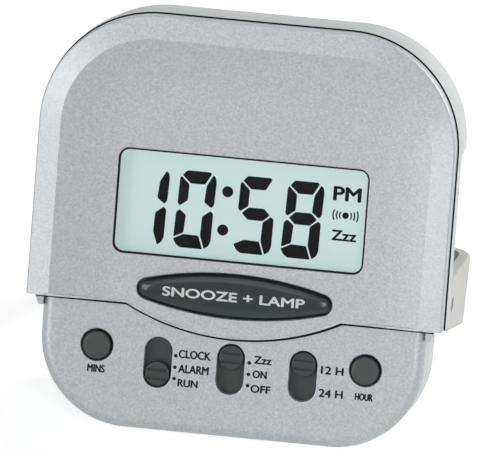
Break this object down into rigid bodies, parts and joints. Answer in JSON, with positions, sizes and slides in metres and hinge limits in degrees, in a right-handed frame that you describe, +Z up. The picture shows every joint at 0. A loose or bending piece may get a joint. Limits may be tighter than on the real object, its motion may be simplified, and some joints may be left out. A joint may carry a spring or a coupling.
{
  "type": "folding digital travel alarm clock",
  "caption": "Pocket-size digital travel alarm clock leaning back on a swung-out stand, with a snooze bar, push buttons and slide switches.",
  "frame": {"origin": "centre of the bounding box on the surface that the open clock stands on", "axes": "+X to the viewer's right along the clock's width, +Y from the display to the back, +Z up"},
  "size_m": [0.0798, 0.0546, 0.0734],
  "materials": {
    "silver_plastic": "silver lacquer, satin",
    "grey_plastic": "smooth, satin",
    "dark_keys": "fine matt",
    "dark_gloss": "polished",
    "clear_plastic": "clear, polished",
    "display_glass": "reflective display glass",
    "white_plastic": "moulded",
    "light_guide": "frosted",
    "lamp": "clear",
    "grey_rubber": "moulded",
    "board": "coated laminate",
    "black_resin": "drop of resin",
    "steel": "bright",
    "brass": "plain",
    "battery_can": "printed sleeve"
  },
  "bodies": {
    "case": {"upper_shell": "silver_plastic", "display_window": "clear_plastic", "lcd_panel": "display_glass", "control_panel": "silver_plastic", "rear_case": "grey_plastic", "stand_pin_left": "steel", "stand_pin_right": "steel", "battery_cell": "battery_can", "battery_plate": "steel", "battery_spring": "steel", "main_board": "board", "clock_chip": "black_resin", "quartz_crystal": "steel", "board_parts": "white_plastic", "lcd_frame": "white_plastic", "light_guide": "light_guide", "light_lamp": "lamp", "lcd_connector": "grey_rubber", "snooze_rubber": "grey_rubber", "minute_rubber": "grey_rubber", "hour_rubber": "grey_rubber", "buzzer_disc": "brass", "buzzer_contacts": "steel", "case_screws": "steel", "board_screws": "steel"},
    "stand": {"stand": "grey_plastic"},
    "snooze": {"snooze_bar": "dark_gloss"},
    "minute_key": {"minute_button": "dark_keys"},
    "hour_key": {"hour_button": "dark_keys"},
    "mode_slide": {"mode_knob": "dark_keys", "mode_wiper": "brass"},
    "alarm_slide": {"alarm_knob": "dark_keys", "alarm_wiper": "brass"},
    "format_slide": {"format_knob": "dark_keys", "format_wiper": "brass"},
    "door": {"battery_door": "grey_plastic"}
  },
  "joints": [
    {"name": "stand_hinge", "type": "hinge", "parent": "case", "child": "stand", "pos_m": [0, -0.00298, 0.01991], "axis": [-1, 0, 0], "range_deg": [0, 90]},
    {"name": "snooze_press", "type": "slide", "parent": "case", "child": "snooze", "axis": [0, 0.8991, -0.4378], "range_m": [0, 0.0007], "stiffness_N_per_m": 1500, "springref_m": -0.0006},
    {"name": "minute_press", "type": "slide", "parent": "case", "child": "minute_key", "axis": [0, 0.8991, -0.4378], "range_m": [0, 0.0006], "stiffness_N_per_m": 1200, "springref_m": -0.0005},
    {"name": "hour_press", "type": "slide", "parent": "case", "child": "hour_key", "axis": [0, 0.8991, -0.4378], "range_m": [0, 0.0006], "stiffness_N_per_m": 1200, "springref_m": -0.0005},
    {"name": "mode_slide", "type": "slide", "parent": "case", "child": "mode_slide", "axis": [0, 0.4378, 0.8991], "range_m": [0, 0.00445]},
    {"name": "alarm_slide", "type": "slide", "parent": "case", "child": "alarm_slide", "axis": [0, -0.4378, -0.8991], "range_m": [0, 0.00445]},
    {"name": "format_slide", "type": "slide", "parent": "case", "child": "format_slide", "axis": [0, -0.4378, -0.8991], "range_m": [0, 0.00445]},
    {"name": "door_slide", "type": "slide", "parent": "case", "child": "door", "axis": [0, -0.4378, -0.8991], "range_m": [0, 0.014]}
  ]
}
